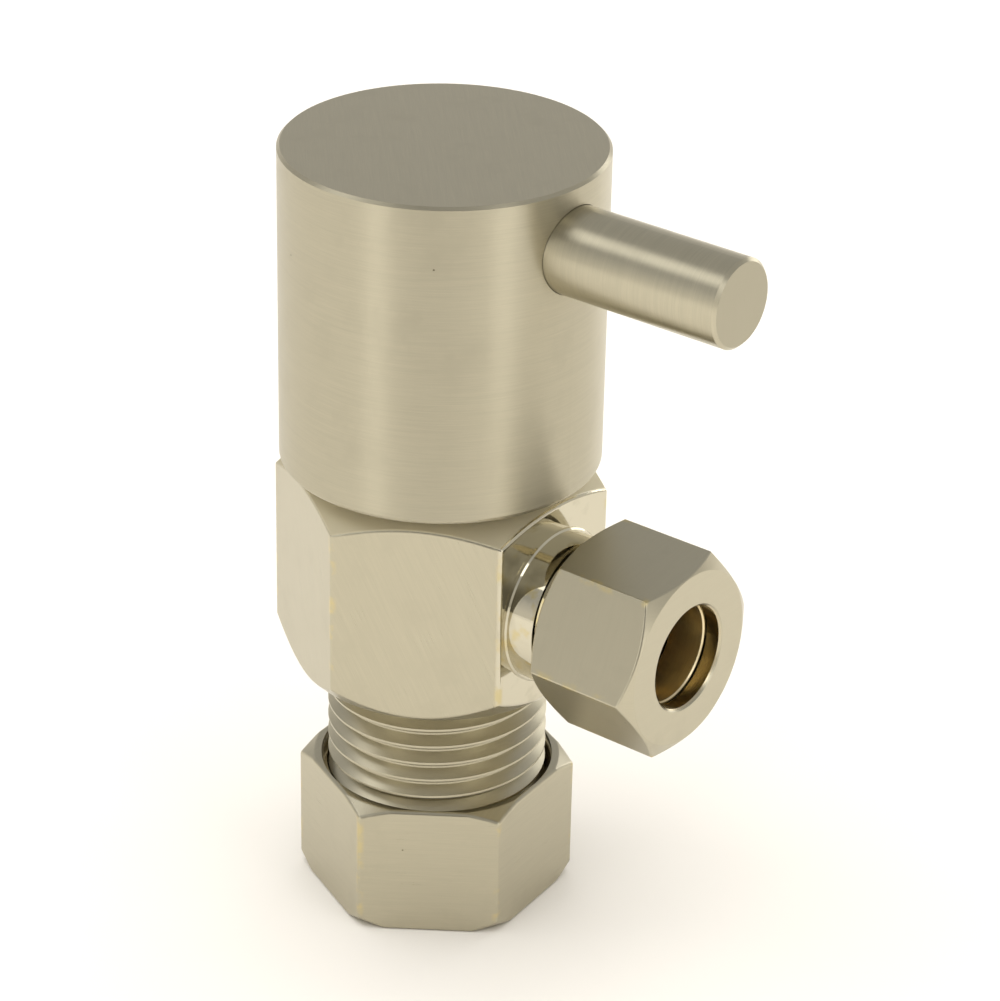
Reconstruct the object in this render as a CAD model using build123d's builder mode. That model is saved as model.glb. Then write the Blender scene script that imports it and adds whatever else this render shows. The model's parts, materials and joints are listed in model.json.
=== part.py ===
"""Quarter-turn angle stop valve: compression inlet below, compression outlet at the side.

Millimetres, +Z up. The origin is on the inlet axis, at the bottom face of the inlet nut.
The outlet points along +X. The model is drawn open, with the lever over the outlet.
"""
from build123d import *
from math import ceil, cos, radians, sin, sqrt, tan
import os

os.makedirs("parts", exist_ok=True)

# ---- driving dimensions -------------------------------------------------
CONE_30 = tan(radians(30))  # rise of a 30 degree chamfer over its run
HEX_CORNER = 2 / sqrt(3)  # corner radius of a hexagon over half its width across flats
GAP = 0.05  # rest gap between pieces that touch
RUN = 0.15  # radial clearance of a turning piece
THREAD_CLEARANCE = 0.14
ROOT_SHARE = 0.05  # half the flat at a thread's root, as a share of its pitch
CREST_SHARE = 0.06  # half the flat at its crest
MOUTH_STEP = 1.15  # height of the 45 degree cone in each compression mouth

# inlet: tube of 5/8 inch outside diameter, G 1/2 thread (14 turns to the inch)
INLET_TUBE_R = 8.05
INLET_THREAD_R = 20.955 / 2
INLET_PITCH = 25.4 / 14
INLET_THREAD_DEPTH = 0.95
INLET_THREAD_START_Z = 6.55
INLET_THREAD_TURNS = 10.3  # the groove runs up to the body and ends inside it
INLET_NUT_FLATS = 23.0
INLET_NUT_H = 13.3
INLET_NUT_TURN = 5.65  # direction of one flat, degrees from +X
INLET_NUT_TOP_CHAMFER = 1.5
INLET_NUT_FOOT_CHAMFER = 1.25
INLET_NUT_EDGE_R = 0.4
INLET_NUT_MOUTH_R = 11.15
INLET_NUT_WALL = 2.0
INLET_NUT_THREAD_DEPTH = 0.4
INLET_HOLE_BEVEL = 0.35
INLET_FERRULE_H = 5.1
STUB_END_Z = 8.9
TUBE_STOP_Z = 16.5
INLET_PASSAGE_R = 6.0

# outlet: tube of 3/8 inch outside diameter, 9/16-24 thread
OUTLET_Z = 34.3
OUTLET_TUBE_R = 4.85
OUTLET_THREAD_R = 14.288 / 2
OUTLET_PITCH = 25.4 / 24
OUTLET_THREAD_DEPTH = 0.6
OUTLET_THREADED_TURNS = 6.33
OUTLET_COLLAR_R = 7.45
COLLAR_H = 0.3
OUTLET_NUT_FLATS = 17.0
OUTLET_NUT_BACK_X = 17.5
OUTLET_NUT_FACE_X = 28.95
OUTLET_NUT_TURN = 36.65  # direction of one flat, degrees from +Y towards +Z
OUTLET_NUT_BACK_CHAMFER = 1.75
OUTLET_NUT_FACE_CHAMFER = 1.5
OUTLET_NUT_EDGE_R = 0.2
OUTLET_NUT_WALL = 1.55
OUTLET_NUT_THREAD_DEPTH = 0.3
OUTLET_HOLE_BEVEL = 0.25
OUTLET_FERRULE_H = 3.6
FERRULE_BEVEL = 0.13
OUTLET_END_X = 23.2
OUTLET_STOP_X = 16.2
OUTLET_PASSAGE_R = 3.4

# body
BODY_FLATS = 27.1
BODY_BOTTOM_Z = 24.4
BODY_TOP_Z = 45.3
BODY_CORNER_TOP_Z = 43.0
BODY_CORNER_BOTTOM_Z = 26.95
BODY_EDGE_R = 0.3
CHAMBER_R = 9.2
CHAMBER_FLOOR_Z = 27.0
O_RING_POCKET_R = 10.5
O_RING_POCKET_DEPTH = 1.3

# handle and lever
HANDLE_R = 14.95
HANDLE_BOTTOM_Z = 45.7
HANDLE_TOP_Z = 76.25
HANDLE_RIM = 0.28  # bevel round the top
HANDLE_BOTTOM_R = 0.45  # rounding of the lower rim
HANDLE_CAVITY_R = 12.9
HANDLE_CAVITY_TOP_Z = 60.0
HUB_R = 7.5
HUB_BOTTOM_Z = 57.6
INSERT_R = 5.0
INSERT_TOP_Z = 66.4
LEVER_Z = 70.13
LEVER_R = 4.1
LEVER_END_X = 32.55
LEVER_SEAT_DEPTH = 1.3  # flat seat that the lever's end sits in
LEVER_SOCKET_X = 22.0  # bottom of the lever's threaded hole
STUD_R = 2.5
SET_SCREW_Z = 62.0
SET_SCREW_R = 2.0

# cartridge
SLEEVE_R = 9.05
SLEEVE_BORE_R = 7.75
STEM_R = 4.0
SPLINE_R = 3.85
SPLINE_TEETH = 20
SEAL_R = 7.4
SEAL_HOLE_R = 5.3
SUPPORT_RING_R = 5.25
SUPPORT_RING_HOLE_R = 4.4
DISC_R = 7.45
PORT_INNER_R = 2.2
PORT_OUTER_R = 6.2
PORT_ANGLE = 78
DISC_NOTCH_WIDTH = 1.2
DRIVE_SLOT_Y = 4.6  # the stem's two drive pegs, either side of the axis
DRIVE_SLOT = (2.2, 2.6)
DRIVE_PEG = (2.0, 2.4)
DISC_H = 2.2
SEAL_TOP_Z = 29.6
FIXED_DISC_Z = SEAL_TOP_Z + GAP
TURNING_DISC_Z = FIXED_DISC_Z + DISC_H + GAP
FOOT_Z = TURNING_DISC_Z + DISC_H + GAP
FOOT_H = 2.1
WASHER_H = 0.6
WASHER_Z = FOOT_Z + FOOT_H + GAP
SHOULDER_Z = WASHER_Z + WASHER_H + GAP
WINDOW_BOTTOM_Z = 31.0
WINDOW_TOP_Z = 36.0
WINDOW_WIDTH = 8.6
FLANGE_R = 11.3
FLANGE_Z = BODY_TOP_Z + GAP
FLANGE_H = 1.3
HOUSING_HEX_FLATS = 17.0
HOUSING_HEX_TOP_Z = 51.0
HOUSING_NECK_R = 6.0
HOUSING_TOP_Z = 55.9
CLIP_Z = 56.2
CLIP_H = 0.7
O_RING_LEVELS = (47.6, 51.4)
STEM_FOOT_R = 6.3
STEM_GROOVE_R = 3.1  # bottom of the two O-ring grooves
STEM_GROOVE_HALF = 0.65
CLIP_GROOVE_R = 3.2
LOBE_INNER_R = 5.5
LOBE_OUTER_R = 7.35
WASHER_R = 7.3
CLIP_R = 5.4
STOP_RIB_ANGLE = 30
LOBE_ANGLE = 59


# ---- helpers ------------------------------------------------------------
def hexagon_solid(flats, bottom, top, turn):
    """A hexagonal prism along Z with one flat facing `turn` degrees."""
    with BuildPart() as prism:
        with BuildSketch(Plane.XY.offset(bottom)):
            RegularPolygon(flats / 2, 6, major_radius=False, rotation=turn - 30)
        extrude(amount=top - bottom)
    return prism.part


def turned_solid(*outline):
    """Revolve a closed outline of (radius, height) points about Z."""
    with BuildPart() as turned:
        with BuildSketch(Plane.XZ):
            with BuildLine():
                Polyline(*outline, close=True)
            make_face()
        revolve(axis=Axis.Z)
    return turned.part


def thread_cutter(root_r, crest_r, pitch, bottom, turns):
    """The helical groove that leaves an external thread on a plain cylinder along Z."""
    over = 0.2
    root_half = pitch * ROOT_SHARE
    slope = pitch * (0.5 - CREST_SHARE - ROOT_SHARE) / (crest_r - root_r)
    reach = crest_r - root_r + over
    with BuildPart() as cutter:
        with BuildLine() as path:
            Helix(pitch, pitch * turns, root_r, center=(0, 0, bottom))
        with BuildSketch(Plane(path.line @ 0, x_dir=(1, 0, 0), z_dir=path.line % 0)):
            with BuildLine():
                Polyline(
                    (0, -root_half),
                    (reach, -root_half - slope * reach),
                    (reach, root_half + slope * reach),
                    (0, root_half),
                    close=True,
                )
            make_face()
        sweep(path=path.line, is_frenet=True)
    return cutter.part


def nut_thread_points(crest_r, root_r, pitch, bottom, count):
    """(radius, height) points of `count` ring grooves in a nut's bore, from the bottom up."""
    points = []
    for ring in range(count):
        start = bottom + ring * pitch
        points += [(crest_r, start), (crest_r, start + 0.2 * pitch), (root_r, start + 0.5 * pitch)]
        points += [(root_r, start + 0.7 * pitch)]
    return points + [(crest_r, bottom + count * pitch)]


def along_x(solid):
    """Lay a solid that was made along Z on the outlet's axis, its +Z along +X."""
    return Plane((0, 0, OUTLET_Z), x_dir=(0, 1, 0), z_dir=(1, 0, 0)).location * solid


def ring_sector(inner, outer, centre, angle, bottom, height):
    """A sector of a ring about Z, at most 90 degrees wide."""
    reach = 2 * outer
    with BuildPart() as sector:
        with BuildSketch(Plane.XY.offset(bottom)):
            with BuildLine():
                Polyline(
                    (0, 0),
                    (reach * cos(radians(centre - angle / 2)), reach * sin(radians(centre - angle / 2))),
                    (reach * cos(radians(centre + angle / 2)), reach * sin(radians(centre + angle / 2))),
                    close=True,
                )
            make_face()
            Circle(outer, mode=Mode.INTERSECT)
            Circle(inner, mode=Mode.SUBTRACT)
        extrude(amount=height)
    return sector.part


# ---- threads ------------------------------------------------------------
inlet_root_r = INLET_THREAD_R - INLET_THREAD_DEPTH
inlet_thread = thread_cutter(
    inlet_root_r, INLET_THREAD_R, INLET_PITCH, INLET_THREAD_START_Z, INLET_THREAD_TURNS
)
outlet_root_r = OUTLET_THREAD_R - OUTLET_THREAD_DEPTH
outlet_start_x = OUTLET_END_X - OUTLET_THREADED_TURNS * OUTLET_PITCH
outlet_thread = thread_cutter(
    outlet_root_r, OUTLET_THREAD_R, OUTLET_PITCH, outlet_start_x, ceil(OUTLET_THREADED_TURNS)
)

# ---- body ---------------------------------------------------------------
body_corner_r = BODY_FLATS / 2 * HEX_CORNER
body_top_flat_r = body_corner_r - (BODY_TOP_Z - BODY_CORNER_TOP_Z) / CONE_30
body_bottom_flat_r = body_corner_r - (BODY_CORNER_BOTTOM_Z - BODY_BOTTOM_Z)
body_face_x = BODY_FLATS / 2
stub_top_z = BODY_BOTTOM_Z + 2.5
inlet_mouth_r = INLET_TUBE_R + MOUTH_STEP
outlet_mouth_r = OUTLET_TUBE_R + MOUTH_STEP

body_hexagon = hexagon_solid(BODY_FLATS, BODY_BOTTOM_Z, BODY_TOP_Z, 0)
body_chamfers = turned_solid(
    (0, BODY_BOTTOM_Z),
    (body_bottom_flat_r, BODY_BOTTOM_Z),
    (body_corner_r, BODY_CORNER_BOTTOM_Z),
    (body_corner_r, BODY_CORNER_TOP_Z),
    (body_top_flat_r, BODY_TOP_Z),
    (0, BODY_TOP_Z),
)
outlet_neck = turned_solid(
    (0, body_face_x - 1),
    (OUTLET_COLLAR_R, body_face_x - 1),
    (OUTLET_COLLAR_R, body_face_x + COLLAR_H / 2),
    (OUTLET_COLLAR_R - COLLAR_H / 2, body_face_x + COLLAR_H),
    (OUTLET_THREAD_R, body_face_x + COLLAR_H),
    (OUTLET_THREAD_R, OUTLET_END_X),
    (0, OUTLET_END_X),
)
inlet_stub = turned_solid(
    (0, STUB_END_Z),
    (INLET_THREAD_R, STUB_END_Z),
    (INLET_THREAD_R, stub_top_z),
    (0, stub_top_z),
)
inlet_waterway = turned_solid(
    (0, STUB_END_Z - 1),
    (inlet_mouth_r, STUB_END_Z - 1),
    (inlet_mouth_r, STUB_END_Z),
    (INLET_TUBE_R, STUB_END_Z + MOUTH_STEP),
    (INLET_TUBE_R, TUBE_STOP_Z),
    (INLET_PASSAGE_R, TUBE_STOP_Z),
    (INLET_PASSAGE_R, CHAMBER_FLOOR_Z),
    (CHAMBER_R, CHAMBER_FLOOR_Z),
    (CHAMBER_R, BODY_TOP_Z - O_RING_POCKET_DEPTH),
    (O_RING_POCKET_R, BODY_TOP_Z - O_RING_POCKET_DEPTH),
    (O_RING_POCKET_R, BODY_TOP_Z + 1),
    (0, BODY_TOP_Z + 1),
)
outlet_waterway = along_x(
    turned_solid(
        (0, 0),
        (OUTLET_PASSAGE_R, 0),
        (OUTLET_PASSAGE_R, OUTLET_STOP_X),
        (OUTLET_TUBE_R, OUTLET_STOP_X),
        (OUTLET_TUBE_R, OUTLET_END_X - MOUTH_STEP),
        (outlet_mouth_r, OUTLET_END_X),
        (outlet_mouth_r, OUTLET_END_X + 1),
        (0, OUTLET_END_X + 1),
    )
)

with BuildPart() as threaded_stub:
    add(inlet_stub)
    add(inlet_thread, mode=Mode.SUBTRACT)
with BuildPart() as threaded_neck:
    add(outlet_neck)
    add(outlet_thread, mode=Mode.SUBTRACT)
outlet_branch = along_x(threaded_neck.part)

with BuildPart() as valve_body:
    add(body_hexagon)
    add(body_chamfers, mode=Mode.INTERSECT)
    fillet(valve_body.edges(), radius=BODY_EDGE_R)
    add(threaded_stub.part)
    add(outlet_branch)
    add(inlet_waterway, mode=Mode.SUBTRACT)
    add(outlet_waterway, mode=Mode.SUBTRACT)
valve_body.part.label = "valve_body"
export_step(valve_body.part, "parts/valve_body.step")

# ---- compression nuts and ferrules --------------------------------------
inlet_nut_corner_r = INLET_NUT_FLATS / 2 * HEX_CORNER
inlet_nut_rim_r = inlet_nut_corner_r - INLET_NUT_TOP_CHAMFER
inlet_nut_foot_r = inlet_nut_corner_r - INLET_NUT_FOOT_CHAMFER
inlet_nut_crest_r = INLET_THREAD_R + THREAD_CLEARANCE
inlet_nut_root_r = inlet_nut_crest_r + INLET_NUT_THREAD_DEPTH
inlet_seat_r = inlet_mouth_r + 1.1
inlet_nut_hexagon = hexagon_solid(INLET_NUT_FLATS, 0, INLET_NUT_H, INLET_NUT_TURN)
inlet_nut_chamfers = turned_solid(
    (0, 0),
    (inlet_nut_foot_r, 0),
    (inlet_nut_corner_r, INLET_NUT_FOOT_CHAMFER),
    (inlet_nut_corner_r, INLET_NUT_H - INLET_NUT_TOP_CHAMFER * CONE_30),
    (inlet_nut_rim_r, INLET_NUT_H),
    (0, INLET_NUT_H),
)
inlet_seat_top_z = INLET_NUT_WALL + inlet_seat_r - INLET_TUBE_R
inlet_nut_inside = turned_solid(
    (0, -1),
    (INLET_TUBE_R + INLET_HOLE_BEVEL, -1),
    (INLET_TUBE_R + INLET_HOLE_BEVEL, 0),
    (INLET_TUBE_R, INLET_HOLE_BEVEL),
    (INLET_TUBE_R, INLET_NUT_WALL),
    (inlet_seat_r, inlet_seat_top_z),
    (inlet_nut_root_r, inlet_seat_top_z),
    (inlet_nut_root_r, inlet_seat_top_z + 0.5),
    *nut_thread_points(inlet_nut_crest_r, inlet_nut_root_r, INLET_PITCH, inlet_seat_top_z + 0.9, 4),
    (INLET_NUT_MOUTH_R, INLET_NUT_H - 0.45),
    (INLET_NUT_MOUTH_R, INLET_NUT_H + 1),
    (0, INLET_NUT_H + 1),
)
with BuildPart() as inlet_nut:
    add(inlet_nut_hexagon)
    add(inlet_nut_chamfers, mode=Mode.INTERSECT)
    fillet(inlet_nut.edges(), radius=INLET_NUT_EDGE_R)
    add(inlet_nut_inside, mode=Mode.SUBTRACT)
inlet_nut.part.label = "inlet_nut"
export_step(inlet_nut.part, "parts/inlet_nut.step")

inlet_ferrule_z = INLET_NUT_WALL + 0.32
inlet_ferrule_bore_r = INLET_TUBE_R - 0.03
inlet_ferrule_top_z = inlet_ferrule_z + INLET_FERRULE_H
with BuildPart() as inlet_ferrule:
    with BuildSketch(Plane.XZ):
        with BuildLine():
            Polyline(
                (inlet_ferrule_bore_r, inlet_ferrule_z),
                (INLET_TUBE_R + 0.25, inlet_ferrule_z),
                (INLET_TUBE_R + 1.25, inlet_ferrule_z + 1.0),
                (INLET_TUBE_R + 1.3, inlet_ferrule_z + 2.2),
                (INLET_TUBE_R + 0.1, inlet_ferrule_top_z),
                (inlet_ferrule_bore_r, inlet_ferrule_top_z),
                close=True,
            )
        make_face()
    revolve(axis=Axis.Z)
inlet_ferrule.part.label = "inlet_ferrule"
export_step(inlet_ferrule.part, "parts/inlet_ferrule.step")

outlet_nut_corner_r = OUTLET_NUT_FLATS / 2 * HEX_CORNER
outlet_nut_crest_r = OUTLET_THREAD_R + THREAD_CLEARANCE
outlet_nut_root_r = outlet_nut_crest_r + OUTLET_NUT_THREAD_DEPTH
outlet_seat_r = outlet_mouth_r + 0.9
outlet_hole_r = OUTLET_TUBE_R + 0.08
outlet_seat_x = OUTLET_NUT_FACE_X - OUTLET_NUT_WALL
outlet_seat_back_x = outlet_seat_x - outlet_seat_r + outlet_hole_r
outlet_nut_hexagon = along_x(
    hexagon_solid(OUTLET_NUT_FLATS, OUTLET_NUT_BACK_X, OUTLET_NUT_FACE_X, OUTLET_NUT_TURN)
)
outlet_nut_chamfers = along_x(
    turned_solid(
        (0, OUTLET_NUT_BACK_X),
        (outlet_nut_corner_r - OUTLET_NUT_BACK_CHAMFER, OUTLET_NUT_BACK_X),
        (outlet_nut_corner_r, OUTLET_NUT_BACK_X + OUTLET_NUT_BACK_CHAMFER * CONE_30),
        (outlet_nut_corner_r, OUTLET_NUT_FACE_X - OUTLET_NUT_FACE_CHAMFER * CONE_30),
        (outlet_nut_corner_r - OUTLET_NUT_FACE_CHAMFER, OUTLET_NUT_FACE_X),
        (0, OUTLET_NUT_FACE_X),
    )
)
outlet_nut_inside = along_x(
    turned_solid(
        (0, OUTLET_NUT_BACK_X - 1),
        (outlet_nut_root_r, OUTLET_NUT_BACK_X - 1),
        (outlet_nut_root_r, OUTLET_NUT_BACK_X + 0.1),
        *nut_thread_points(outlet_nut_crest_r, outlet_nut_root_r, OUTLET_PITCH, OUTLET_NUT_BACK_X + 0.4, 6),
        (outlet_nut_root_r, outlet_seat_back_x - 0.4),
        (outlet_nut_root_r, outlet_seat_back_x),
        (outlet_seat_r, outlet_seat_back_x),
        (outlet_hole_r, outlet_seat_x),
        (outlet_hole_r, OUTLET_NUT_FACE_X - OUTLET_HOLE_BEVEL),
        (outlet_hole_r + OUTLET_HOLE_BEVEL, OUTLET_NUT_FACE_X),
        (outlet_hole_r + OUTLET_HOLE_BEVEL, OUTLET_NUT_FACE_X + 1),
        (0, OUTLET_NUT_FACE_X + 1),
    )
)
with BuildPart() as outlet_nut:
    add(outlet_nut_hexagon)
    add(outlet_nut_chamfers, mode=Mode.INTERSECT)
    fillet(outlet_nut.edges(), radius=OUTLET_NUT_EDGE_R)
    add(outlet_nut_inside, mode=Mode.SUBTRACT)
outlet_nut.part.label = "outlet_nut"
export_step(outlet_nut.part, "parts/outlet_nut.step")

outlet_ferrule_x = outlet_seat_x - 0.3
outlet_ferrule_nose_x = outlet_ferrule_x - OUTLET_FERRULE_H
outlet_tube_top_z = OUTLET_Z + OUTLET_TUBE_R
with BuildPart() as outlet_ferrule:
    with BuildSketch(Plane.XZ):
        with BuildLine():
            Polyline(
                (outlet_ferrule_x - FERRULE_BEVEL, outlet_tube_top_z - 0.02),
                (outlet_ferrule_x, outlet_tube_top_z - 0.02 + FERRULE_BEVEL),
                (outlet_ferrule_x, outlet_tube_top_z + 0.25),
                (outlet_ferrule_x - 0.9, outlet_tube_top_z + 1.05),
                (outlet_ferrule_x - 1.6, outlet_tube_top_z + 1.1),
                (outlet_ferrule_nose_x, outlet_tube_top_z + 0.1),
                (outlet_ferrule_nose_x, outlet_tube_top_z - 0.02),
                close=True,
            )
        make_face()
    revolve(axis=Axis((0, 0, OUTLET_Z), (1, 0, 0)))
outlet_ferrule.part.label = "outlet_ferrule"
export_step(outlet_ferrule.part, "parts/outlet_ferrule.step")

# ---- cartridge: the pieces held still -----------------------------------
with BuildPart() as seat_seal:
    with BuildSketch(Plane.XZ):
        with BuildLine():
            Polyline(
                (SEAL_HOLE_R, CHAMBER_FLOOR_Z),
                (SEAL_R, CHAMBER_FLOOR_Z),
                (SEAL_R, SEAL_TOP_Z - 0.5),
                (SEAL_R - 0.4, SEAL_TOP_Z),
                (SEAL_HOLE_R, SEAL_TOP_Z),
                close=True,
            )
        make_face()
    revolve(axis=Axis.Z)
seat_seal.part.label = "seat_seal"
export_step(seat_seal.part, "parts/seat_seal.step")

with BuildPart() as seat_support_ring:
    with BuildSketch(Plane.XY.offset(CHAMBER_FLOOR_Z + 0.3)):
        Circle(SUPPORT_RING_R)
        Circle(SUPPORT_RING_HOLE_R, mode=Mode.SUBTRACT)
    extrude(amount=SEAL_TOP_Z - CHAMBER_FLOOR_Z - 0.6)
seat_support_ring.part.label = "seat_support_ring"
export_step(seat_support_ring.part, "parts/seat_support_ring.step")

ports = [
    ring_sector(PORT_INNER_R, PORT_OUTER_R, side, PORT_ANGLE, FIXED_DISC_Z - 1, DISC_H + 2)
    for side in (0, 180)
]
with BuildPart() as fixed_disc:
    with BuildSketch(Plane.XY.offset(FIXED_DISC_Z)):
        Circle(DISC_R)
    extrude(amount=DISC_H)
    add(ports, mode=Mode.SUBTRACT)
    with BuildSketch(Plane.XY.offset(FIXED_DISC_Z)):
        with PolarLocations(DISC_R, 2, start_angle=90):
            Rectangle(DISC_NOTCH_WIDTH, 3)
    extrude(amount=DISC_H, mode=Mode.SUBTRACT)
fixed_disc.part.label = "fixed_disc"
export_step(fixed_disc.part, "parts/fixed_disc.step")

sleeve_bottom_z = FIXED_DISC_Z - 1.2
housing_corner_r = HOUSING_HEX_FLATS / 2 * HEX_CORNER
housing_outline = turned_solid(
    (SLEEVE_BORE_R, sleeve_bottom_z),
    (SLEEVE_R, sleeve_bottom_z),
    (SLEEVE_R, FLANGE_Z),
    (FLANGE_R, FLANGE_Z),
    (FLANGE_R, FLANGE_Z + FLANGE_H),
    (housing_corner_r, FLANGE_Z + FLANGE_H),
    (housing_corner_r, HOUSING_HEX_TOP_Z - 0.6),
    (housing_corner_r - 1, HOUSING_HEX_TOP_Z),
    (HOUSING_NECK_R, HOUSING_HEX_TOP_Z),
    (HOUSING_NECK_R, HOUSING_TOP_Z - 0.4),
    (HOUSING_NECK_R - 0.4, HOUSING_TOP_Z),
    (STEM_R + RUN, HOUSING_TOP_Z),
    (STEM_R + RUN, SHOULDER_Z),
    (SLEEVE_BORE_R, SHOULDER_Z),
)
housing_hexagon = hexagon_solid(HOUSING_HEX_FLATS, FLANGE_Z + FLANGE_H, HOUSING_HEX_TOP_Z, 0)
housing_waste = turned_solid(
    (HOUSING_NECK_R, FLANGE_Z + FLANGE_H),
    (FLANGE_R + 1, FLANGE_Z + FLANGE_H),
    (FLANGE_R + 1, HOUSING_HEX_TOP_Z),
    (HOUSING_NECK_R, HOUSING_HEX_TOP_Z),
)
stop_ribs = [
    ring_sector(6.65, SLEEVE_BORE_R + 0.3, side, STOP_RIB_ANGLE, FOOT_Z - GAP, FOOT_H + 2 * GAP)
    for side in (90, 270)
]
disc_keys = [
    ring_sector(DISC_R - 0.5, SLEEVE_BORE_R + 0.3, side, 8, FIXED_DISC_Z, DISC_H - 0.2) for side in (90, 270)
]
with BuildPart() as housing_flats:
    add(housing_waste)
    add(housing_hexagon, mode=Mode.SUBTRACT)

with BuildPart() as cartridge_housing:
    add(housing_outline)
    add(housing_flats.part, mode=Mode.SUBTRACT)
    with BuildSketch(Plane.YZ.offset(-SLEEVE_R - 1)):
        with Locations((0, (WINDOW_BOTTOM_Z + WINDOW_TOP_Z) / 2)):
            Rectangle(WINDOW_WIDTH, WINDOW_TOP_Z - WINDOW_BOTTOM_Z)
    extrude(amount=2 * SLEEVE_R + 2, mode=Mode.SUBTRACT)
    add(stop_ribs)
    add(disc_keys)
cartridge_housing.part.label = "cartridge_housing"
export_step(cartridge_housing.part, "parts/cartridge_housing.step")

with BuildPart() as body_o_ring:
    with BuildSketch(Plane.XZ):
        with Locations((9.82, BODY_TOP_Z - 0.65)):
            Circle(0.6)
    revolve(axis=Axis.Z)
body_o_ring.part.label = "body_o_ring"
export_step(body_o_ring.part, "parts/body_o_ring.step")

# ---- cartridge: the pieces that turn with the stem ----------------------
wing_gaps = [ring_sector(2.0, DISC_R + 1, side, 84, TURNING_DISC_Z - 1, DISC_H + 2) for side in (0, 180)]
with BuildPart() as turning_disc:
    with BuildSketch(Plane.XY.offset(TURNING_DISC_Z)):
        Circle(DISC_R - 0.05)
    extrude(amount=DISC_H)
    add(wing_gaps, mode=Mode.SUBTRACT)
    with BuildSketch(Plane.XY.offset(TURNING_DISC_Z + DISC_H)):
        with Locations((0, DRIVE_SLOT_Y), (0, -DRIVE_SLOT_Y)):
            Rectangle(*DRIVE_SLOT)
    extrude(amount=-1.2, mode=Mode.SUBTRACT)
turning_disc.part.label = "turning_disc"
export_step(turning_disc.part, "parts/turning_disc.step")

stem_outline = turned_solid(
    (0, FOOT_Z),
    (STEM_FOOT_R, FOOT_Z),
    (STEM_FOOT_R, FOOT_Z + FOOT_H),
    (STEM_R, FOOT_Z + FOOT_H),
    (STEM_R, O_RING_LEVELS[0] - STEM_GROOVE_HALF),
    (STEM_GROOVE_R, O_RING_LEVELS[0] - STEM_GROOVE_HALF),
    (STEM_GROOVE_R, O_RING_LEVELS[0] + STEM_GROOVE_HALF),
    (STEM_R, O_RING_LEVELS[0] + STEM_GROOVE_HALF),
    (STEM_R, O_RING_LEVELS[1] - STEM_GROOVE_HALF),
    (STEM_GROOVE_R, O_RING_LEVELS[1] - STEM_GROOVE_HALF),
    (STEM_GROOVE_R, O_RING_LEVELS[1] + STEM_GROOVE_HALF),
    (STEM_R, O_RING_LEVELS[1] + STEM_GROOVE_HALF),
    (STEM_R, CLIP_Z - GAP),
    (CLIP_GROOVE_R, CLIP_Z - GAP),
    (CLIP_GROOVE_R, CLIP_Z + CLIP_H + GAP),
    (SPLINE_R, CLIP_Z + CLIP_H + GAP),
    (SPLINE_R, INSERT_TOP_Z - 1.2),
    (SPLINE_R - 0.5, INSERT_TOP_Z - 0.7),
    (0, INSERT_TOP_Z - 0.7),
)
stop_lobes = [ring_sector(LOBE_INNER_R, LOBE_OUTER_R, side, LOBE_ANGLE, FOOT_Z, FOOT_H) for side in (45, 225)]
with BuildPart() as stem:
    add(stem_outline)
    add(stop_lobes)
    with BuildSketch(Plane.XY.offset(FOOT_Z)):
        with Locations((0, DRIVE_SLOT_Y), (0, -DRIVE_SLOT_Y)):
            Rectangle(*DRIVE_PEG)
    extrude(amount=-1.1)
    with BuildSketch(Plane.XY.offset(CLIP_Z + CLIP_H + 1)):
        with PolarLocations(SPLINE_R + 0.05, SPLINE_TEETH):
            RegularPolygon(0.33, 3, rotation=180)
    extrude(amount=INSERT_TOP_Z - CLIP_Z, mode=Mode.SUBTRACT)
stem.part.label = "stem"
export_step(stem.part, "parts/stem.step")

with BuildPart() as stem_o_rings:
    with BuildSketch(Plane.XZ):
        with Locations(*[(3.6, level) for level in O_RING_LEVELS]):
            Circle(0.48)
    revolve(axis=Axis.Z)
stem_o_rings.part.label = "stem_o_rings"
export_step(stem_o_rings.part, "parts/stem_o_rings.step")

with BuildPart() as thrust_washer:
    with BuildSketch(Plane.XY.offset(WASHER_Z)):
        Circle(WASHER_R)
        Circle(STEM_R + RUN, mode=Mode.SUBTRACT)
    extrude(amount=WASHER_H)
thrust_washer.part.label = "thrust_washer"
export_step(thrust_washer.part, "parts/thrust_washer.step")

with BuildPart() as stem_clip:
    with BuildSketch(Plane.XY.offset(CLIP_Z)):
        Circle(CLIP_R)
        Circle(CLIP_GROOVE_R + GAP, mode=Mode.SUBTRACT)
        with Locations((0, -4)):
            Rectangle(3.4, 6, mode=Mode.SUBTRACT)
    extrude(amount=CLIP_H)
stem_clip.part.label = "stem_clip"
export_step(stem_clip.part, "parts/stem_clip.step")

# ---- handle -------------------------------------------------------------
insert_bottom_z = HUB_BOTTOM_Z + 0.2
with BuildPart() as spline_insert:
    with BuildSketch(Plane.XY.offset(insert_bottom_z)):
        Circle(INSERT_R - 0.02)
        Circle(SPLINE_R + 0.03, mode=Mode.SUBTRACT)
    extrude(amount=INSERT_TOP_Z - 0.1 - insert_bottom_z)
    with BuildSketch(Plane.YZ.offset(-INSERT_R - 1)):
        with Locations((0, SET_SCREW_Z)):
            Circle(SET_SCREW_R + 0.1)
    extrude(amount=INSERT_R, mode=Mode.SUBTRACT)
spline_insert.part.label = "spline_insert"
export_step(spline_insert.part, "parts/spline_insert.step")

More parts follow.
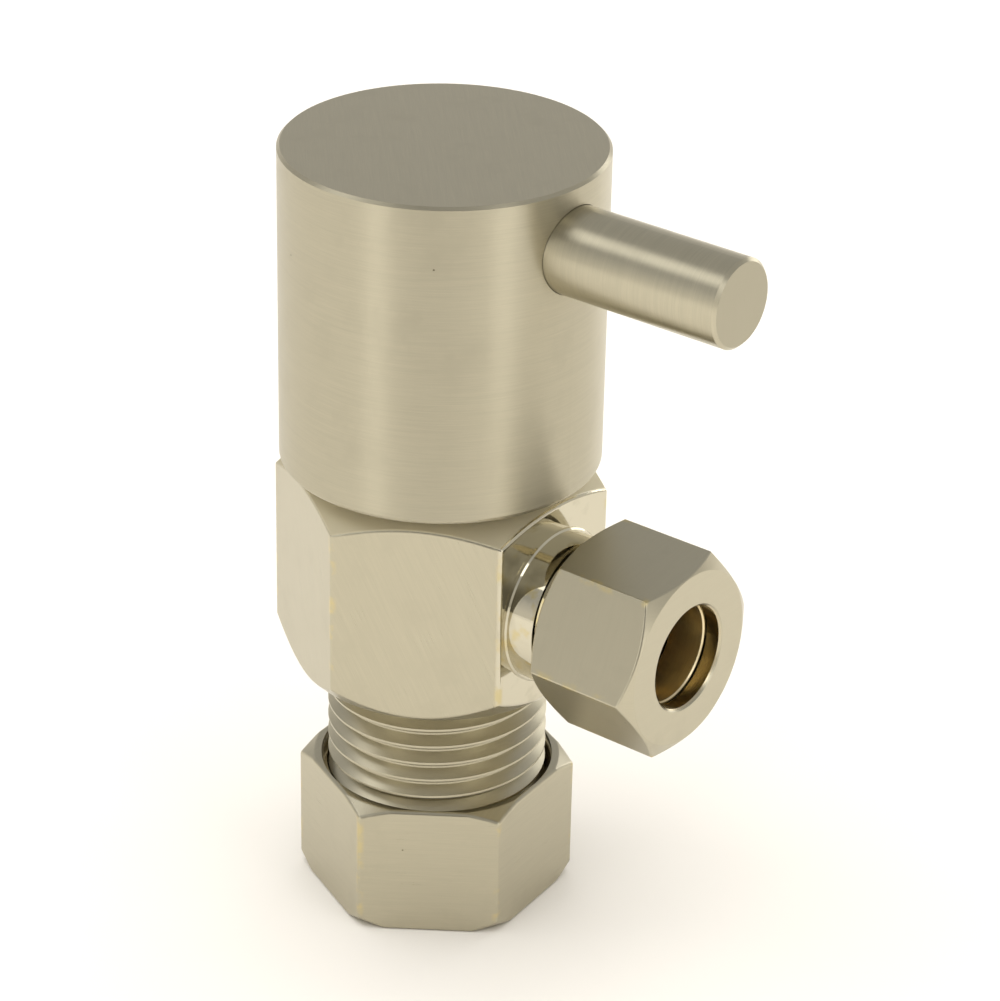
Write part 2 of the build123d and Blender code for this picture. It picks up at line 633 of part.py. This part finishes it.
with BuildPart() as handle_cap:
    with BuildSketch(Plane.XZ):
        with BuildLine():
            Polyline(
                (HANDLE_CAVITY_R, HANDLE_BOTTOM_Z),
                (HANDLE_R, HANDLE_BOTTOM_Z),
                (HANDLE_R, HANDLE_TOP_Z - HANDLE_RIM),
                (HANDLE_R - HANDLE_RIM, HANDLE_TOP_Z),
                (0, HANDLE_TOP_Z),
                (0, INSERT_TOP_Z),
                (INSERT_R, INSERT_TOP_Z),
                (INSERT_R, HUB_BOTTOM_Z),
                (HUB_R, HUB_BOTTOM_Z),
                (HUB_R, HANDLE_CAVITY_TOP_Z),
                (HANDLE_CAVITY_R, HANDLE_CAVITY_TOP_Z),
                close=True,
            )
        make_face()
    revolve(axis=Axis.Z)
    bottom_rim = handle_cap.edges().filter_by(GeomType.CIRCLE).group_by(Axis.Z)[0].sort_by(SortBy.RADIUS)[-1]
    fillet(bottom_rim, radius=HANDLE_BOTTOM_R)
    # seat that the lever's end sits in, then the stud's threaded hole
    with BuildSketch(Plane.YZ.offset(HANDLE_R - LEVER_SEAT_DEPTH)):
        with Locations((0, LEVER_Z)):
            Circle(LEVER_R + GAP)
    extrude(amount=LEVER_SEAT_DEPTH + 1, mode=Mode.SUBTRACT)
    with BuildSketch(Plane.YZ.offset(4)):
        with Locations((0, LEVER_Z)):
            Circle(STUD_R + 0.02)
    extrude(amount=HANDLE_R, mode=Mode.SUBTRACT)
    # set screw hole at the back
    with BuildSketch(Plane.YZ.offset(-HANDLE_R - 1)):
        with Locations((0, SET_SCREW_Z)):
            Circle(SET_SCREW_R + 0.02)
    extrude(amount=HANDLE_R, mode=Mode.SUBTRACT)
handle_cap.part.label = "handle_cap"
export_step(handle_cap.part, "parts/handle_cap.step")

with BuildPart() as lever_bar:
    with BuildSketch(Plane.XZ):
        with BuildLine():
            Polyline(
                (HANDLE_R - LEVER_SEAT_DEPTH + GAP, LEVER_Z + STUD_R + 0.02),
                (HANDLE_R - LEVER_SEAT_DEPTH + GAP, LEVER_Z + LEVER_R),
                (LEVER_END_X - 0.3, LEVER_Z + LEVER_R),
                (LEVER_END_X, LEVER_Z + LEVER_R - 0.3),
                (LEVER_END_X, LEVER_Z),
                (LEVER_SOCKET_X, LEVER_Z),
                (LEVER_SOCKET_X, LEVER_Z + STUD_R + 0.02),
                close=True,
            )
        make_face()
    revolve(axis=Axis((0, 0, LEVER_Z), (1, 0, 0)))
lever_bar.part.label = "lever_bar"
export_step(lever_bar.part, "parts/lever_bar.step")

with BuildPart() as lever_stud:
    with BuildSketch(Plane.YZ.offset(4.2)):
        with Locations((0, LEVER_Z)):
            Circle(STUD_R)
    extrude(amount=LEVER_SOCKET_X - 0.4 - 4.2)
    chamfer(lever_stud.edges().filter_by(GeomType.CIRCLE), length=0.4)
lever_stud.part.label = "lever_stud"
export_step(lever_stud.part, "parts/lever_stud.step")

with BuildPart() as set_screw:
    with BuildSketch(Plane.YZ.offset(-SPLINE_R - 0.02)):
        with Locations((0, SET_SCREW_Z)):
            Circle(SET_SCREW_R)
    extrude(amount=-8)
    chamfer(set_screw.edges().filter_by(GeomType.CIRCLE), length=0.35)
    with BuildSketch(Plane.YZ.offset(-SPLINE_R - 8.02)):
        with Locations((0, SET_SCREW_Z)):
            RegularPolygon(1.0, 6, major_radius=False)
    extrude(amount=2.5, mode=Mode.SUBTRACT)
set_screw.part.label = "set_screw"
export_step(set_screw.part, "parts/set_screw.step")
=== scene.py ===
"""Looks for the quarter-turn angle stop valve: materials, floor, lights and camera."""
import json
import math

import bpy
from mathutils import Matrix, Vector

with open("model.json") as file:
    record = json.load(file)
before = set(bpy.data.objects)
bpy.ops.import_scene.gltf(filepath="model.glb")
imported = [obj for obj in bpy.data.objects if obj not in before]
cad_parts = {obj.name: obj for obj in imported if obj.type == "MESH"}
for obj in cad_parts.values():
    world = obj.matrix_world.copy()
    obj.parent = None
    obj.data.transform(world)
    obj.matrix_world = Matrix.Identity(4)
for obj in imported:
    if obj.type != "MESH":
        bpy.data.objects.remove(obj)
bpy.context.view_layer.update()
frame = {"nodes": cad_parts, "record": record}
nodes = frame["nodes"]
mounts = {mount["name"]: mount for mount in frame["record"]["mounts"]}

# places and sizes in the frame, in metres
OUTLET_Z = mounts["outlet_tube"]["pos_m"][2]
INLET_AXIS_POINT = (0.0, 0.0, 0.0)
OUTLET_AXIS_POINT = (0.0, 0.0, OUTLET_Z)
BODY_FLATS = 0.0271  # the hexagons' widths across flats
INLET_NUT_FLATS = 0.023
OUTLET_NUT_FLATS = 0.017
STUB_TOP_Z = 0.0245  # about where the threaded stub meets the body
CONE_Z = 0.042  # the cone round the body's top lies above this
CONE_FADE = 0.002
CHAMBER_EDGE_R = 0.0094  # just outside the body's two bores
BRANCH_EDGE_R = 0.0062
INLET_MOUTH_R = 0.0111  # the nuts' mouths
OUTLET_MOUTH_R = 0.0051
EDGE_FADE = 0.0002  # over which one finish gives way to another

# directions in the pieces' own frame
UP = (0.0, 0.0, 1.0)
ALONG_X = (1.0, 0.0, 0.0)
ALONG_Y = (0.0, 1.0, 0.0)
TOP_ALONG = (0.68, -0.73, 0.0)  # brushing on the handle's top
TOP_ACROSS = (0.73, 0.68, 0.0)
BODY_GRAIN_SLOPE = 66  # degrees down from level, on the body's flats
FACING_END = (0.8, 0.9)  # cosines to an axis, between which a finish fades in
FACING_CONE = (0.5, 0.7)

# view: the camera stands to the front right and looks down on the valve
CAMERA_AZIMUTH = 37.8  # degrees round from -Y towards +X
CAMERA_ELEVATION = 27.45
CAMERA_ROLL = 1.25
CAMERA_DISTANCE = 0.33325
CAMERA_AIM = Vector((0.00614, 0.00122, 0.04205))
CAMERA_LENS = 129.8  # mm
SENSOR_WIDTH = 36  # mm

# finishes: linear base colours
SATIN_NICKEL = (0.495, 0.458, 0.347)
POLISHED_NICKEL = (0.60, 0.56, 0.44)
BARE_BRASS = (0.60, 0.44, 0.17)
WORN_PLATE = (0.58, 0.50, 0.29)
FERRULE_BRASS = (0.84, 0.72, 0.46)
PIT = (0.10, 0.085, 0.05)
STEEL = (0.55, 0.54, 0.52)
RUBBER = (0.022, 0.021, 0.020)
CERAMIC = (0.80, 0.79, 0.75)
PLASTIC = (0.78, 0.77, 0.72)
FLOOR_COLOUR = (0.92, 0.89, 0.84)

# roughness of the plating, and what the body's thread and cone add to it
HANDLE_ROUGHNESS = 0.38
LEVER_ROUGHNESS = 0.32
FLAT_ROUGHNESS = 0.30
POLISHED_ROUGHNESS = 0.06
THREAD_EXTRA = 0.04
CONE_EXTRA = 0.36
FLOOR_ROUGHNESS = 0.9

# brushing lines, in metres
LINE_LENGTH = 0.0045
LINE_WIDTH = 0.00008
LINE_DEPTH = 0.00001
LINE_BUMP = 0.6
BROAD_SCALE = (0.5, 0.22, 0.22)  # a second, broader set of lines, against the fine ones
FINE_SHARE = 0.72  # how much of the pattern the fine lines make
LINE_FADE = (0.33, 0.67)  # noise values between which dark lines turn into light ones
LINE_DARKENS = 0.08
LINE_LIGHTENS = 0.06
LINE_ROUGHENS = 0.2
HANDLE_STRETCH = 0.85  # how far highlights stretch across the lines
LEVER_STRETCH = 0.6
LEVER_END_PAINTED_SHADE = 0.80  # painted shade on the lever's end and painted light on the body's cone, both against the brushed plate
CONE_PAINTED_LIGHT = 1.6

# faint clouds in the plating
CLOUD_FADE = (0.55, 0.75)
CLOUD_TONE = 0.95
CLOUD_ROUGHENS = 0.06

# how much the light plating inside the nuts is polished and lets brass through
MOUTH_POLISH = 0.6
MOUTH_BRASS = 0.35

# bare turned metal, and moulded rubber, plastic and ceramic
RING_FADE = (0.3, 0.7)
RING_DARK = 0.92
RING_LIGHT = 1.05
RING_ROUGHENS = 0.15
STAIN_FADE = (0.5, 0.8)
STAIN_TONE = 0.75
GRIT_ROUGHENS = 0.2
GRIT_BUMP = 0.5

# pits and worn corners, in metres
PIT_DENSITY = 150.0  # cells a metre
PIT_RADIUS = 0.00013
PIT_CORE = 0.4  # share of its radius at full depth
PIT_DEPTH = 3.0  # in line depths
WEAR_STARTS = 0.00030  # inwards from a hexagon's corner
WEAR_IS_FULL = 0.00012
WEAR_PATCHES = (0.50, 0.62)

# noise patterns: features a metre, detail, roughness
NOISE_MIDDLE = 0.5
CLOUDS = (260.0, 3.0, 0.6)
WEAR = (380.0, 3.0, 0.6)
MOTTLE = (900.0, 3.0, 0.6)
GRIT = (9000.0, 2.0, 0.5)
FLOOR_GRAIN = (60.0, 2.0, 0.5)
# the same for lines, whose coordinates are scaled already
FINE_LINES = (1.0, 4.0, 0.65)
BROAD_LINES = (1.0, 2.0, 0.5)
LATHE_RINGS = (1.0, 3.0, 0.6)

# room and lights
FLOOR_HALF = 30.0  # metres
LIGHT_AIM = Vector((0.0, 0.0, 0.04))
LIGHT_COLOUR = (1.0, 0.985, 0.955)
FILL_STRENGTH = 2.25
FILL_ANGLE = 80  # degrees that the fill spreads over
HORIZON = (0.81, 0.775, 0.71)
ZENITH = (0.52, 0.515, 0.505)
SKY_HEIGHTS = (0.10, 0.40)  # sines of the elevations between which one turns into the other
SHADOW_TONE = 0.3  # the dark place where the photographer stands, against the horizon
SHADOW_BESIDE_CAMERA = -8  # degrees
SHADOW_ELEVATION = 8
SHADOW_CORE = 12  # degrees from its middle
SHADOW_REACH = 32


def shade(colour, factor):
    """An opaque RGBA colour, darker or lighter by a factor."""
    return tuple(min(1.0, part * factor) for part in colour) + (1.0,)


# ---- node trees -----------------------------------------------------------
class Tree:
    """Short calls that add nodes; each value is a socket or a constant."""

    def __init__(self, node_tree):
        self.nodes = node_tree.nodes
        self.links = node_tree.links
        self.place = self.nodes.new("ShaderNodeTexCoord")

    def feed(self, socket, value):
        """Link a socket to another, or set its constant."""
        if isinstance(value, bpy.types.NodeSocket):
            self.links.new(value, socket)
        else:
            socket.default_value = value

    def node(self, kind, *values, operation=None):
        """A new node whose first inputs are fed in order."""
        node = self.nodes.new(kind)
        if operation is not None:
            node.operation = operation
        for socket, value in zip(node.inputs, values):
            self.feed(socket, value)
        return node

    def math(self, operation, *values):
        """Arithmetic on numbers."""
        return self.node("ShaderNodeMath", *values, operation=operation).outputs[0]

    def vector(self, operation, *values):
        """Arithmetic on vectors."""
        node = self.node("ShaderNodeVectorMath", *values, operation=operation)
        return node.outputs["Value" if operation in ("DOT_PRODUCT", "LENGTH") else "Vector"]

    def split(self, vector):
        """The three parts of a vector."""
        return self.node("ShaderNodeSeparateXYZ", vector).outputs[:]

    def join(self, *values):
        """A vector of three parts."""
        return self.node("ShaderNodeCombineXYZ", *values).outputs[0]

    def noise(self, vector, scale, detail, roughness):
        """Soft noise about 0.5."""
        node = self.nodes.new("ShaderNodeTexNoise")
        self.feed(node.inputs["Vector"], vector)
        node.inputs["Scale"].default_value = scale
        node.inputs["Detail"].default_value = detail
        node.inputs["Roughness"].default_value = roughness
        return node.outputs["Fac"]

    def cell_distance(self, vector, scale):
        """Distance from the nearest of many scattered points, in cells."""
        node = self.nodes.new("ShaderNodeTexVoronoi")
        self.feed(node.inputs["Vector"], vector)
        node.inputs["Scale"].default_value = scale
        return node.outputs["Distance"]

    def fade(self, value, zero_at, one_at):
        """0 at zero_at, 1 at one_at, straight between and clamped outside."""
        return self.node("ShaderNodeMapRange", value, zero_at, one_at).outputs["Result"]

    def mix(self, factor, first, second):
        """One colour turning into another."""
        node = self.nodes.new("ShaderNodeMix")
        node.data_type = "RGBA"
        self.feed(node.inputs[0], factor)
        self.feed(node.inputs[6], first)
        self.feed(node.inputs[7], second)
        return node.outputs[2]

    def mix_vector(self, factor, first, second):
        """One vector turning into another."""
        node = self.nodes.new("ShaderNodeMix")
        node.data_type = "VECTOR"
        self.feed(node.inputs[0], factor)
        self.feed(node.inputs[4], first)
        self.feed(node.inputs[5], second)
        return node.outputs[1]


class Surface(Tree):
    """The node tree of a new material with one shader."""

    def __init__(self, name):
        self.material = bpy.data.materials.new(name)
        self.material.use_nodes = True
        self.material.node_tree.nodes.clear()
        super().__init__(self.material.node_tree)
        self.point = self.place.outputs["Object"]
        self.normal = self.place.outputs["Normal"]
        self.shader = self.nodes.new("ShaderNodeBsdfPrincipled")
        output = self.nodes.new("ShaderNodeOutputMaterial")
        self.links.new(self.shader.outputs["BSDF"], output.inputs["Surface"])

    def to_world(self, vector):
        """Turn a direction in the piece's own frame into a world direction."""
        node = self.node("ShaderNodeVectorTransform", vector)
        node.vector_type = "VECTOR"
        node.convert_from = "OBJECT"
        node.convert_to = "WORLD"
        return node.outputs[0]

    def bump(self, height, distance, strength):
        """Raise the surface by a height times a distance."""
        node = self.nodes.new("ShaderNodeBump")
        node.inputs["Strength"].default_value = strength
        node.inputs["Distance"].default_value = distance
        self.feed(node.inputs["Height"], height)
        self.feed(self.shader.inputs["Normal"], node.outputs[0])


# ---- grain: coordinates that stretch a noise into brushing lines -----------
def long_way(tree, distance):
    """A distance along the lines, in line lengths."""
    return tree.math("MULTIPLY", distance, 1 / LINE_LENGTH)


def short_way(tree, distance):
    """A distance across the lines, in line widths."""
    return tree.math("MULTIPLY", distance, 1 / LINE_WIDTH)


def straight_grain(tree, along, across):
    """Lines along one direction; the noise is even in the third."""
    lengthwise = tree.vector("DOT_PRODUCT", tree.point, along)
    sideways = tree.vector("DOT_PRODUCT", tree.point, across)
    return tree.join(long_way(tree, lengthwise), short_way(tree, sideways), 0.0)


def round_grain_z(tree):
    """Lines that run round the Z axis."""
    x, y, z = tree.split(tree.point)
    return tree.join(long_way(tree, x), long_way(tree, y), short_way(tree, z))


def round_grain_x(tree):
    """Lines that run round an axis along X."""
    x, y, z = tree.split(tree.point)
    return tree.join(long_way(tree, y), long_way(tree, z), short_way(tree, x))


def face_grain(tree, axis, slope):
    """Lines on the flats of a hexagon about `axis`, `slope` degrees down from square to it."""
    side = tree.vector("NORMALIZE", tree.vector("CROSS_PRODUCT", axis, tree.normal))
    level = tree.vector("DOT_PRODUCT", tree.point, side)
    height = tree.vector("DOT_PRODUCT", tree.point, axis)
    c, s = math.cos(math.radians(slope)), math.sin(math.radians(slope))
    along = tree.math("SUBTRACT", tree.math("MULTIPLY", level, c), tree.math("MULTIPLY", height, s))
    across = tree.math("ADD", tree.math("MULTIPLY", level, s), tree.math("MULTIPLY", height, c))
    return tree.join(long_way(tree, along), short_way(tree, across), 0.0)


# ---- masks ----------------------------------------------------------------
def distance_from_axis(tree, axis, point):
    """Distance of the surface from the line along `axis` through `point`."""
    offset = tree.vector("SUBTRACT", tree.point, point)
    square_to_axis = tuple(1.0 - part for part in axis)
    return tree.vector("LENGTH", tree.vector("MULTIPLY", offset, square_to_axis))


def near_axis(tree, axis, point, radius):
    """1 within a radius of an axis."""
    return tree.fade(distance_from_axis(tree, axis, point), radius, radius - EDGE_FADE)


def facing(tree, axis, cosines=FACING_END):
    """1 where the surface faces along `axis`."""
    return tree.fade(tree.vector("DOT_PRODUCT", tree.normal, axis), *cosines)


def worn_corner(tree, axis, point, flats):
    """Patches where the plating has worn through along the corners of a hexagon."""
    corner_r = flats / math.sqrt(3)
    distance = distance_from_axis(tree, axis, point)
    corner = tree.fade(distance, corner_r - WEAR_STARTS, corner_r - WEAR_IS_FULL)
    patch = tree.fade(tree.noise(tree.point, *WEAR), *WEAR_PATCHES)
    return tree.math("MULTIPLY", corner, patch)


def pits(tree):
    """1 in the middle of scattered plating pits, 0 elsewhere."""
    edge = PIT_RADIUS * PIT_DENSITY
    return tree.fade(tree.cell_distance(tree.point, PIT_DENSITY), edge, edge * PIT_CORE)


# ---- materials ------------------------------------------------------------
def vary(tree, value, noise, amount):
    """A value that a noise raises and lowers."""
    return tree.math("MULTIPLY_ADD", tree.math("SUBTRACT", noise, NOISE_MIDDLE), amount, value)


def plate(
    tree, grain, roughness, lines=1.0,
    polish=None, brass=None, worn=None, turned=None, painted_light_tone=1.0,
):
    """Nickel plating with brushing lines in colour, roughness and bump, clouds and pits.

    `lines` is how strong the brushing is. `polish` fades the brushing out to a mirror finish.
    `turned` is where a lathe faced the surface; painted shade or painted light makes it darker or
    lighter there by a tone. `worn` is where the plating is thin, and `brass` where the metal
    underneath shows.
    """
    fine = tree.noise(grain, *FINE_LINES)
    broad = tree.noise(tree.vector("MULTIPLY", grain, BROAD_SCALE), *BROAD_LINES)
    streak = tree.math("MULTIPLY_ADD", fine, FINE_SHARE, tree.math("MULTIPLY", broad, 1 - FINE_SHARE))
    cloud = tree.noise(tree.point, *CLOUDS)
    dark = shade(SATIN_NICKEL, 1 - LINE_DARKENS * lines)
    light = shade(SATIN_NICKEL, 1 + LINE_LIGHTENS * lines)
    colour = tree.mix(tree.fade(streak, *LINE_FADE), dark, light)
    rough = vary(tree, roughness, streak, LINE_ROUGHENS * lines)
    rough = vary(tree, rough, cloud, CLOUD_ROUGHENS)
    height = streak
    if polish is not None:
        brushed = tree.math("SUBTRACT", 1.0, polish)
        mirror = tree.math("MULTIPLY", polish, POLISHED_ROUGHNESS)
        colour = tree.mix(polish, colour, shade(POLISHED_NICKEL, 1.0))
        rough = tree.math("MULTIPLY_ADD", rough, brushed, mirror)
        height = tree.math("MULTIPLY", streak, brushed)
    colour = tree.mix(tree.fade(cloud, *CLOUD_FADE), colour, shade(SATIN_NICKEL, CLOUD_TONE))
    # painted shade or painted light on the turned faces: darker on the lever's end, lighter on the
    # body's cone
    if turned is not None:
        colour = tree.mix(turned, colour, shade(SATIN_NICKEL, painted_light_tone))
    if worn is not None:
        colour = tree.mix(worn, colour, shade(WORN_PLATE, 1.0))
    if brass is not None:
        colour = tree.mix(brass, colour, shade(BARE_BRASS, 1.0))
    pit = pits(tree)
    tree.feed(tree.shader.inputs["Base Color"], tree.mix(pit, colour, shade(PIT, 1.0)))
    tree.feed(tree.shader.inputs["Roughness"], rough)
    tree.shader.inputs["Metallic"].default_value = 1.0
    relief = tree.math("MULTIPLY_ADD", pit, -PIT_DEPTH, height)
    tree.bump(relief, LINE_DEPTH * lines, LINE_BUMP)
    return tree.material


def brushed_along(tree, direction, amount):
    """Stretch highlights along one direction, square to the brushing."""
    tree.shader.inputs["Anisotropic"].default_value = amount
    tree.feed(tree.shader.inputs["Tangent"], tree.to_world(direction))


def handle_finish():
    """Lines run round the side and straight over the top."""
    tree = Surface("handle_satin")
    top = facing(tree, UP)
    grain = tree.mix_vector(top, round_grain_z(tree), straight_grain(tree, TOP_ALONG, TOP_ACROSS))
    brushed_along(tree, tree.mix_vector(top, UP, TOP_ACROSS), HANDLE_STRETCH)
    return plate(tree, grain, HANDLE_ROUGHNESS)


def lever_finish():
    """Lines run round the bar; its end is turned and darkened with painted shade."""
    tree = Surface("lever_satin")
    end = facing(tree, ALONG_X)
    grain = tree.mix_vector(end, round_grain_x(tree), straight_grain(tree, UP, ALONG_Y))
    brushed_along(tree, ALONG_X, LEVER_STRETCH)
    # the lever's end is darkened with painted shade
    return plate(tree, grain, LEVER_ROUGHNESS, turned=end, painted_light_tone=LEVER_END_PAINTED_SHADE)


def body_finish():
    """Brushed flats, a polished outlet face and neck, and a turned cone and thread; the cone is
    lightened with painted light.
    """
    tree = Surface("body_satin")
    x, _, z = tree.split(tree.point)
    outlet_face_x = BODY_FLATS / 2
    outlet_side = tree.fade(x, outlet_face_x - 2 * EDGE_FADE, outlet_face_x - EDGE_FADE)
    high = tree.fade(z, CONE_Z - CONE_FADE, CONE_Z)
    cone = tree.math("MULTIPLY", facing(tree, UP, FACING_CONE), high)
    stub = tree.fade(z, STUB_TOP_Z + EDGE_FADE, STUB_TOP_Z - EDGE_FADE)
    thread = tree.math("MULTIPLY_ADD", stub, THREAD_EXTRA, FLAT_ROUGHNESS)
    chamber = near_axis(tree, UP, INLET_AXIS_POINT, CHAMBER_EDGE_R)
    branch = near_axis(tree, ALONG_X, OUTLET_AXIS_POINT, BRANCH_EDGE_R)
    branch = tree.math("MULTIPLY", branch, tree.fade(x, 0.0, 0.001))  # on the outlet's side
    return plate(
        tree, face_grain(tree, UP, BODY_GRAIN_SLOPE),
        roughness=tree.math("MULTIPLY_ADD", cone, CONE_EXTRA, thread),
        lines=0.75,
        polish=outlet_side,
        brass=tree.math("MAXIMUM", chamber, branch),
        worn=worn_corner(tree, UP, INLET_AXIS_POINT, BODY_FLATS),
        # the cone is lightened with painted light
        turned=cone,
        painted_light_tone=CONE_PAINTED_LIGHT,
    )


def nut_finish(name, axis, point, mouth_radius, flats, lines):
    """Brushed flats, turned ends, and a cut thread inside that shows some brass."""
    tree = Surface(name)
    backwards = tuple(-part for part in axis)
    end = tree.math("MAXIMUM", facing(tree, axis), facing(tree, backwards))
    square_to_both = (axis[2], 0.0, axis[0])  # to the axis and to Y
    ends_grain = straight_grain(tree, ALONG_Y, square_to_both)
    inside = near_axis(tree, axis, point, mouth_radius)
    return plate(
        tree, tree.mix_vector(end, face_grain(tree, axis, 0), ends_grain),
        roughness=FLAT_ROUGHNESS,
        lines=lines,
        polish=tree.math("MULTIPLY", inside, MOUTH_POLISH),
        brass=tree.math("MULTIPLY", inside, MOUTH_BRASS),
        worn=worn_corner(tree, axis, point, flats),
    )


def turned_metal(name, colour, roughness, grain_of):
    """Bare metal with the fine rings that a lathe leaves."""
    tree = Surface(name)
    rings = tree.noise(grain_of(tree), *LATHE_RINGS)
    stain = tree.fade(tree.noise(tree.point, *CLOUDS), *STAIN_FADE)
    dark, light = shade(colour, RING_DARK), shade(colour, RING_LIGHT)
    ringed = tree.mix(tree.fade(rings, *RING_FADE), dark, light)
    stained = tree.mix(stain, ringed, shade(colour, STAIN_TONE))
    tree.feed(tree.shader.inputs["Base Color"], stained)
    rough = tree.math("MULTIPLY_ADD", rings, RING_ROUGHENS, roughness)
    tree.feed(tree.shader.inputs["Roughness"], rough)
    tree.shader.inputs["Metallic"].default_value = 1.0
    tree.bump(rings, LINE_DEPTH, LINE_BUMP)
    return tree.material


def moulded(name, colour, roughness, speck):
    """Rubber, plastic or ceramic: a faintly uneven surface, darker in places by `speck`."""
    tree = Surface(name)
    mottle = tree.noise(tree.point, *MOTTLE)
    grit = tree.noise(tree.point, *GRIT)
    uneven = tree.mix(mottle, shade(colour, 1 - speck), shade(colour, 1.0))
    tree.feed(tree.shader.inputs["Base Color"], uneven)
    tree.feed(tree.shader.inputs["Roughness"], vary(tree, roughness, grit, GRIT_ROUGHENS))
    tree.bump(grit, LINE_DEPTH, GRIT_BUMP)
    return tree.material


def paint(material, *names):
    """Give some CAD nodes one material."""
    for name in names:
        for slot in nodes[name].material_slots:
            slot.material = material


# ---- stage ----------------------------------------------------------------
def make_floor():
    """A plain pale sheet under the valve."""
    tree = Surface("floor")
    grain = tree.noise(tree.point, *FLOOR_GRAIN)
    colour = tree.mix(grain, shade(FLOOR_COLOUR, 0.99), shade(FLOOR_COLOUR, 1.0))
    tree.feed(tree.shader.inputs["Base Color"], colour)
    tree.shader.inputs["Roughness"].default_value = FLOOR_ROUGHNESS
    mesh = bpy.data.meshes.new("floor")
    signs = ((-1, -1), (1, -1), (1, 1), (-1, 1))
    corners = [(x * FLOOR_HALF, y * FLOOR_HALF, 0) for x, y in signs]
    mesh.from_pydata(corners, [], [(0, 1, 2, 3)])
    mesh.materials.append(tree.material)
    floor = bpy.data.objects.new("floor", mesh)
    bpy.context.collection.objects.link(floor)


def direction(azimuth, elevation):
    """Unit direction; azimuth in degrees round from -Y towards +X."""
    a, e = math.radians(azimuth), math.radians(elevation)
    return Vector((math.sin(a) * math.cos(e), -math.cos(a) * math.cos(e), math.sin(e)))


def make_lamp(name, kind, energy):
    """A new lamp of the studio's colour: the light and its object."""
    light = bpy.data.lights.new(name, kind)
    light.energy = energy
    light.color = LIGHT_COLOUR
    lamp = bpy.data.objects.new(name, light)
    bpy.context.collection.objects.link(lamp)
    return light, lamp


def softbox(name, beside_camera, elevation, distance, width, height, brightness):
    """A rectangular light facing the valve, `beside_camera` degrees to the camera's right."""
    light, lamp = make_lamp(name, "AREA", brightness * math.pi * width * height)
    light.shape = "RECTANGLE"
    light.size, light.size_y = width, height
    way = direction(CAMERA_AZIMUTH + beside_camera, elevation)
    lamp.location = LIGHT_AIM + way * distance
    lamp.rotation_euler = way.to_track_quat("Z", "Y").to_euler()
    lamp.visible_camera = False


def make_fill():
    """Very soft light from overhead that evens out the floor and isn't mirrored in the metal."""
    light, lamp = make_lamp("fill", "SUN", FILL_STRENGTH)
    light.angle = math.radians(FILL_ANGLE)
    lamp.visible_glossy = False


def make_world():
    """A soft room, brighter at the horizon than overhead and dark where the photographer stands."""
    world = bpy.data.worlds.new("studio")
    bpy.context.scene.world = world
    world.use_nodes = True
    tree = Tree(world.node_tree)
    way = tree.place.outputs["Generated"]
    _, _, height = tree.split(way)
    sky = tree.mix(tree.fade(height, *SKY_HEIGHTS), shade(HORIZON, 1.0), shade(ZENITH, 1.0))
    photographer = direction(CAMERA_AZIMUTH + SHADOW_BESIDE_CAMERA, SHADOW_ELEVATION)
    core, reach = math.cos(math.radians(SHADOW_CORE)), math.cos(math.radians(SHADOW_REACH))
    outside = tree.fade(tree.vector("DOT_PRODUCT", way, photographer), core, reach)
    sky = tree.mix(outside, shade(HORIZON, SHADOW_TONE), sky)
    tree.feed(tree.nodes["Background"].inputs["Color"], sky)


def make_camera():
    """The photograph's view, fitted to the valve's outline."""
    back = direction(CAMERA_AZIMUTH, CAMERA_ELEVATION)
    lens = bpy.data.cameras.new("camera")
    lens.lens = CAMERA_LENS
    lens.sensor_width = SENSOR_WIDTH
    lens.sensor_fit = "HORIZONTAL"
    lens.clip_start = 0.01
    camera = bpy.data.objects.new("camera", lens)
    bpy.context.collection.objects.link(camera)
    turn = back.to_track_quat("Z", "Y").to_matrix().to_4x4()
    roll = Matrix.Rotation(math.radians(CAMERA_ROLL), 4, "Z")
    camera.matrix_world = Matrix.Translation(CAMERA_AIM + back * CAMERA_DISTANCE) @ turn @ roll
    bpy.context.scene.camera = camera


# ---- what is seen in the photograph ----------------------------------------
inlet_nut = nut_finish(
    "inlet_nut_satin", UP, INLET_AXIS_POINT, INLET_MOUTH_R, INLET_NUT_FLATS, lines=0.75,
)
outlet_nut = nut_finish(
    "outlet_nut_satin", ALONG_X, OUTLET_AXIS_POINT, OUTLET_MOUTH_R, OUTLET_NUT_FLATS, lines=0.35,
)
paint(handle_finish(), "handle_cap")
paint(lever_finish(), "lever_bar")
paint(body_finish(), "valve_body")
paint(inlet_nut, "inlet_nut")
paint(outlet_nut, "outlet_nut")
paint(turned_metal("brass_x", FERRULE_BRASS, 0.26, round_grain_x), "outlet_ferrule")

# ---- what is hidden inside --------------------------------------------------
brass = turned_metal("brass_z", BARE_BRASS, 0.22, round_grain_z)
steel = turned_metal("steel", STEEL, 0.25, round_grain_x)
paint(brass, "inlet_ferrule", "cartridge_housing", "stem", "spline_insert")
paint(steel, "lever_stud", "set_screw", "stem_clip", "seat_support_ring")
paint(moulded("rubber", RUBBER, 0.62, 0.3), "seat_seal", "body_o_ring", "stem_o_rings")
paint(moulded("ceramic", CERAMIC, 0.22, 0.04), "fixed_disc", "turning_disc")
paint(moulded("plastic", PLASTIC, 0.4, 0.06), "thrust_washer")

# ---- studio: degrees beside the camera, elevation, metres away, width, height, brightness
make_floor()
make_world()
softbox("softbox_left", -43, 18, 0.8, 0.20, 0.55, 1.75)
softbox("softbox_right", 42, 18, 0.8, 0.20, 0.55, 1.9)
softbox("high_left", -95, 50, 0.9, 0.4, 0.35, 1.4)
softbox("back_right", 138, 10, 0.9, 0.35, 0.45, 1.5)
make_fill()
make_camera()
bpy.context.scene.view_settings.view_transform = "Standard"
